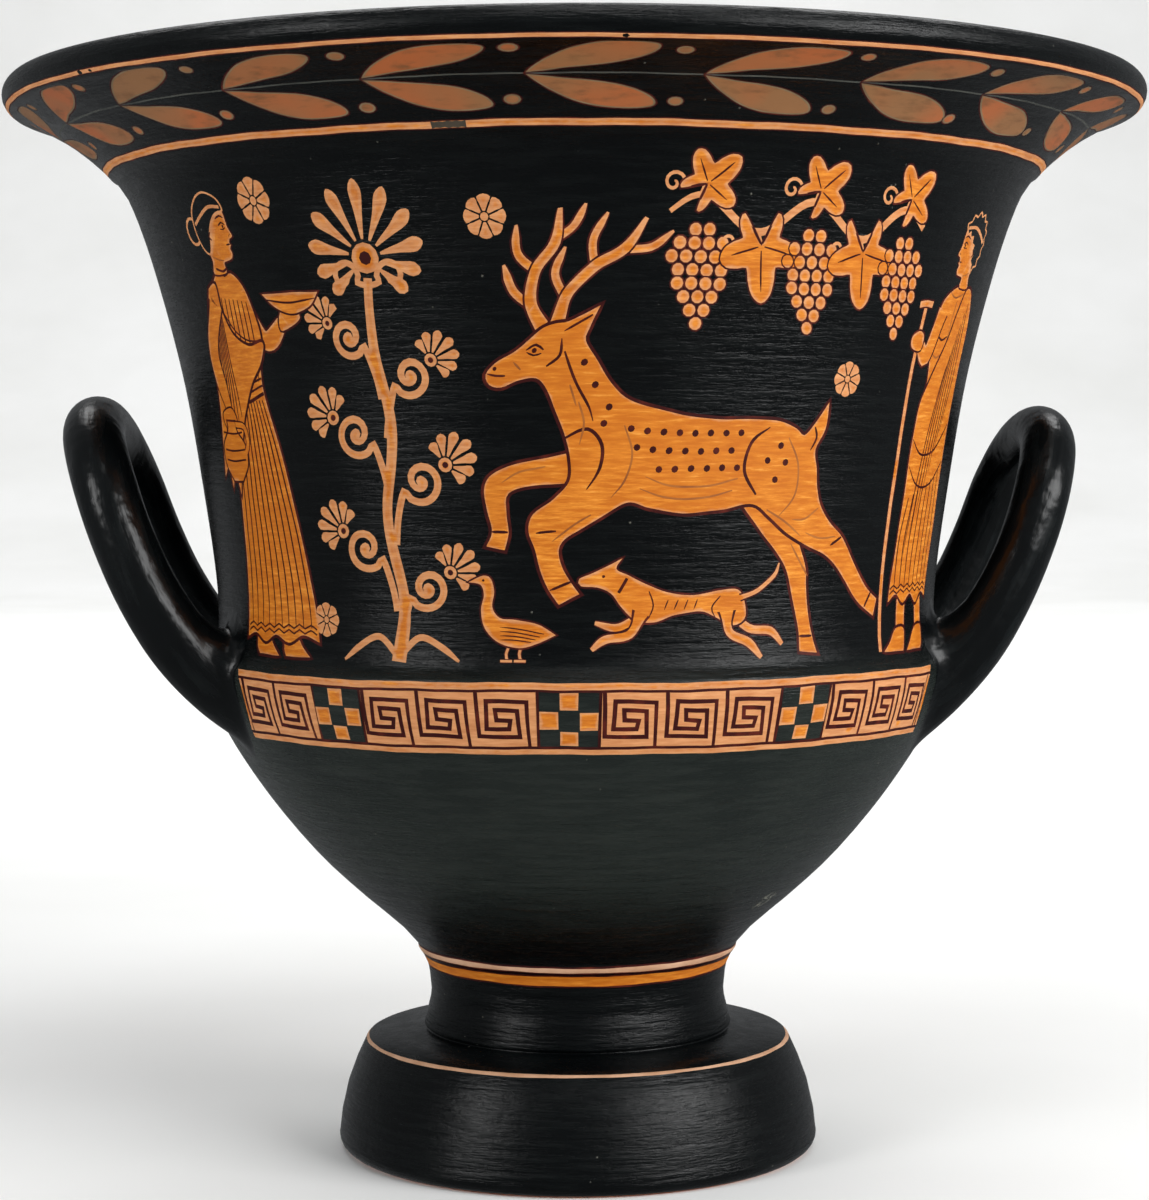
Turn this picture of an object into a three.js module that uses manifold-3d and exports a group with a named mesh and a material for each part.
// A calyx-krater: a wide-mouthed bowl for mixing wine, in fired clay, with two
// upright loop handles on the lower body and a disc foot on a short stem.
// Body, foot and handles are one fired piece, so the whole is one solid.
// Millimetres, +Z up; the origin is on the axis, in the plane that the foot stands on.
import * as THREE from "three";
import { mergeVertices } from "three/addons/utils/BufferGeometryUtils.js";
import Module from "manifold-3d";

// Driving dimensions
const HEIGHT = 333;
const LIP_RADIUS = 177;
const AROUND = 56; // sides of the turned body

// Foot: a disc with a battered side, hollowed underneath
const FOOT_RADIUS = 76;
const FOOT_EDGE = 4.2; // rounding where the side meets the floor
const FOOT_SIDE = [
  [75.2, 11],
  [72.4, 22.5],
  [67.4, 34.2],
];
const FOOT_TOP = [
  [65.4, 35.2],
  [56, 36.4],
  [48.2, 38.2],
];
const STANDING_RING = [60, FOOT_RADIUS - FOOT_EDGE]; // inner and outer radius of the flat ring
const RECESS_TOP = 47;

// Stem, up to the ridge that divides it from the bowl
const STEM_STATIONS = [
  // [radius, height]
  [48.2, 38.2],
  [46.6, 50],
  [47.9, 58.8],
  [50.6, 63.3],
];

// Bowl: the cul, its ridge, and the flaring wall
const CUL_STATIONS = [
  [50.9, 64.9],
  [57.2, 71.8],
  [67.7, 80.7],
  [81.6, 93.8],
  [95.2, 110],
  [106.3, 126.1],
  [112.6, 137.8],
  [115.9, 148.3],
  [116.8, 154.9],
];
const RIDGE_TOP = [115.6, 156.7];
const WALL_STATIONS = [
  [113.2, 159.9],
  [112.7, 166.3],
  [113.2, 180.3],
  [116.4, 204.6],
  [122.6, 241.9],
  [131.2, 275.7],
  [138.4, 296.5],
  [143.2, 303.9],
];
const RIM_STATIONS = [
  [144.6, 304.7],
  [149.2, 309.3],
  [158.6, 316.5],
  [171.6, 323.6],
];
const LIP_CENTRE = [171.7, 328.3]; // of the rounded edge
const WALL = 6.5; // thickness of the wall and rim
const CUL_WALL = 7.5;
const FLOOR = 72; // inside the bowl, above the stem

// Handles: a round bar bent to a horseshoe, spreading at its roots
const ROOT_REACH = 0.3; // share of the bar's length over which each root spreads
const BAR_SIDES = 14;
const BAR_STEPS = 30;
const HANDLE_STATIONS = [
  // [outwards, sideways, height] of the bar's centre, from a root to the top of the loop
  [80, 39, 134],
  [95, 40, 141.2],
  [108, 41.5, 150],
  [119.5, 43.5, 161.4],
  [129, 44.5, 176],
  [136.6, 44, 192.5],
  [142.3, 39.5, 208.5],
  [146.6, 25, 220.5],
  [148.2, 0, 225.2],
];
const HANDLE_HINGE = [108, 150]; // [outwards, height] that each handle leans about
const HANDLES = [
  // bent and set by hand, so not quite a pair; bar and root are the radii of each
  { facing: 3.5, outwards: 1.2, leanDegrees: -0.9, stretch: 0.998, spread: 0.82, bar: 8.6, root: 16.3 },
  { facing: 182.6, outwards: 0.9, leanDegrees: 0.7, stretch: 1.05, spread: 0.97, bar: 9.5, root: 12.5 },
];

const wasm = await Module();
wasm.setup();

// Points of a smooth line through stations of [radius, height].
function through(stations, steps) {
  const points = stations.map(([r, z]) => new THREE.Vector2(r, z));
  return new THREE.SplineCurve(points).getPoints(steps);
}

// Points of a circular arc, angles in degrees from outwards, anticlockwise.
function arc([r, z], radius, from, to, steps) {
  const rad = THREE.MathUtils.degToRad;
  const curve = new THREE.EllipseCurve(r, z, radius, radius, rad(from), rad(to), to < from);
  return curve.getPoints(steps);
}

// The line moved sideways by a distance, to the left of its direction.
function offset(points, distance) {
  return points.map((p, i) => {
    const before = points[Math.max(i - 1, 0)];
    const after = points[Math.min(i + 1, points.length - 1)];
    const along = after.clone().sub(before).normalize();
    return new THREE.Vector2(p.x - along.y * distance, p.y + along.x * distance);
  });
}

// The cut through the wall, from the middle of the underside to the middle of the inside.
function profile() {
  const recess = through([[0, RECESS_TOP], [26, 44], [41, 31], [53, 11], [STANDING_RING[0], 0]], 5);
  const footEdge = arc([STANDING_RING[1], FOOT_EDGE], FOOT_EDGE, -90, 0, 3);
  const cul = through(CUL_STATIONS, 10);
  const lip = arc(LIP_CENTRE, LIP_RADIUS - LIP_CENTRE[0], -60, 100, 5);
  lip.forEach((p) => { p.y = Math.min(p.y, HEIGHT); });
  const outside = [
    ...through(FOOT_SIDE, 2), ...through(FOOT_TOP, 2), ...through(STEM_STATIONS, 4).slice(1),
    ...cul, new THREE.Vector2(...RIDGE_TOP), ...through(WALL_STATIONS, 9), ...through(RIM_STATIONS, 3),
  ];

  const insideRim = offset(through(RIM_STATIONS, 3), WALL).reverse().slice(1);
  const insideWall = offset(through(WALL_STATIONS, 6), WALL).reverse().slice(1);
  const insideCul = offset(cul, CUL_WALL).reverse().slice(1).filter((p) => p.y > FLOOR + 8);
  const floor = through([[46, FLOOR + 4.6], [24, FLOOR + 0.8], [0, FLOOR]], 2);
  return [...recess, ...footEdge, ...outside, ...lip, ...insideRim, ...insideWall, ...insideCul, ...floor];
}

function turnedBody() {
  const geometry = new THREE.LatheGeometry(profile(), AROUND);
  return geometry.rotateX(Math.PI / 2);
}

// The bar's radius at a share of its length.
function barRadius(share, { bar, root }) {
  const fromRoot = Math.min(share, 1 - share);
  return bar + (root - bar) * Math.max(0, 1 - fromRoot / ROOT_REACH) ** 2;
}

// A straight bar of varying radius, closed at both ends, with its axis along Y from 0 to 1.
function straightBar(setting) {
  const line = [new THREE.Vector2(0, 0)];
  for (let i = 0; i <= BAR_STEPS; i++) {
    line.push(new THREE.Vector2(barRadius(i / BAR_STEPS, setting), i / BAR_STEPS));
  }
  line.push(new THREE.Vector2(0, 1));
  return new THREE.LatheGeometry(line, BAR_SIDES);
}

// The horseshoe that a handle's bar follows, on the +X side.
function handlePath({ outwards, leanDegrees, stretch, spread }) {
  const hinge = new THREE.Vector3(HANDLE_HINGE[0], 0, HANDLE_HINGE[1]);
  const half = HANDLE_STATIONS.map(([x, y, z]) => {
    const point = new THREE.Vector3(x, y * spread, z).sub(hinge);
    if (point.z > 0) point.z *= stretch;
    point.applyAxisAngle(new THREE.Vector3(0, 1, 0), THREE.MathUtils.degToRad(leanDegrees));
    return point.add(hinge).add(new THREE.Vector3(outwards, 0, 0));
  });
  const mirrored = half.slice(0, -1).reverse().map((p) => new THREE.Vector3(p.x, -p.y, p.z));
  return new THREE.CatmullRomCurve3([...half, ...mirrored], false, "centripetal");
}

// One handle: the straight bar bent along its horseshoe, then turned to the side it faces.
function handle(setting) {
  const path = handlePath(setting);
  const bar = straightBar(setting);
  const place = bar.attributes.position;
  const outwards = new THREE.Vector3(1, 0, 0);
  for (let i = 0; i < place.count; i++) {
    const share = THREE.MathUtils.clamp(place.getY(i), 0, 1);
    const centre = path.getPointAt(share);
    const along = path.getTangentAt(share);
    const across = new THREE.Vector3().crossVectors(along, outwards).normalize();
    const over = new THREE.Vector3().crossVectors(across, along);
    centre.addScaledVector(across, place.getX(i)).addScaledVector(over, place.getZ(i));
    place.setXYZ(i, centre.x, centre.y, centre.z);
  }
  return bar.rotateZ(THREE.MathUtils.degToRad(setting.facing));
}

// A closed geometry as a manifold-3d solid.
function solid(geometry) {
  const bare = geometry.clone();
  bare.deleteAttribute("normal");
  bare.deleteAttribute("uv");
  const merged = mergeVertices(bare, 1e-3);
  const triVerts = new Uint32Array(merged.index.array);
  const mesh = new wasm.Mesh({ numProp: 3, vertProperties: merged.attributes.position.array, triVerts });
  mesh.merge();
  const made = new wasm.Manifold(mesh);
  if (made.volume() > 0) return made;
  for (let i = 0; i < triVerts.length; i += 3) {
    [triVerts[i], triVerts[i + 1]] = [triVerts[i + 1], triVerts[i]];
  }
  return new wasm.Manifold(
    new wasm.Mesh({ numProp: 3, vertProperties: merged.attributes.position.array, triVerts }),
  );
}

// The space inside the bowl and above the rim, which no root may reach into.
function bowlSpace() {
  const inside = profile();
  const top = inside.reduce((best, p, i) => (p.y > inside[best].y ? i : best), 0);
  const line = [new THREE.Vector2(0, HEIGHT + 1), new THREE.Vector2(inside[top].x - 1, HEIGHT + 1)];
  const geometry = new THREE.LatheGeometry([...line, ...inside.slice(top + 1)], AROUND);
  return solid(geometry.rotateX(Math.PI / 2));
}

function krater() {
  const handles = HANDLES.map((setting) => solid(handle(setting)));
  const joined = handles.reduce((whole, loop) => whole.add(loop), solid(turnedBody())).subtract(bowlSpace());
  const mesh = joined.getMesh();
  const geometry = new THREE.BufferGeometry();
  geometry.setAttribute("position", new THREE.BufferAttribute(mesh.vertProperties, 3));
  geometry.setIndex(new THREE.BufferAttribute(mesh.triVerts, 1));
  geometry.computeVertexNormals();
  return geometry;
}

const blackGloss = new THREE.MeshStandardMaterial({ color: 0x14171a, roughness: 0.42, metalness: 0 });
const vessel = new THREE.Mesh(krater(), blackGloss);
vessel.name = "krater";

const part = new THREE.Group();
part.add(vessel);
export default part;
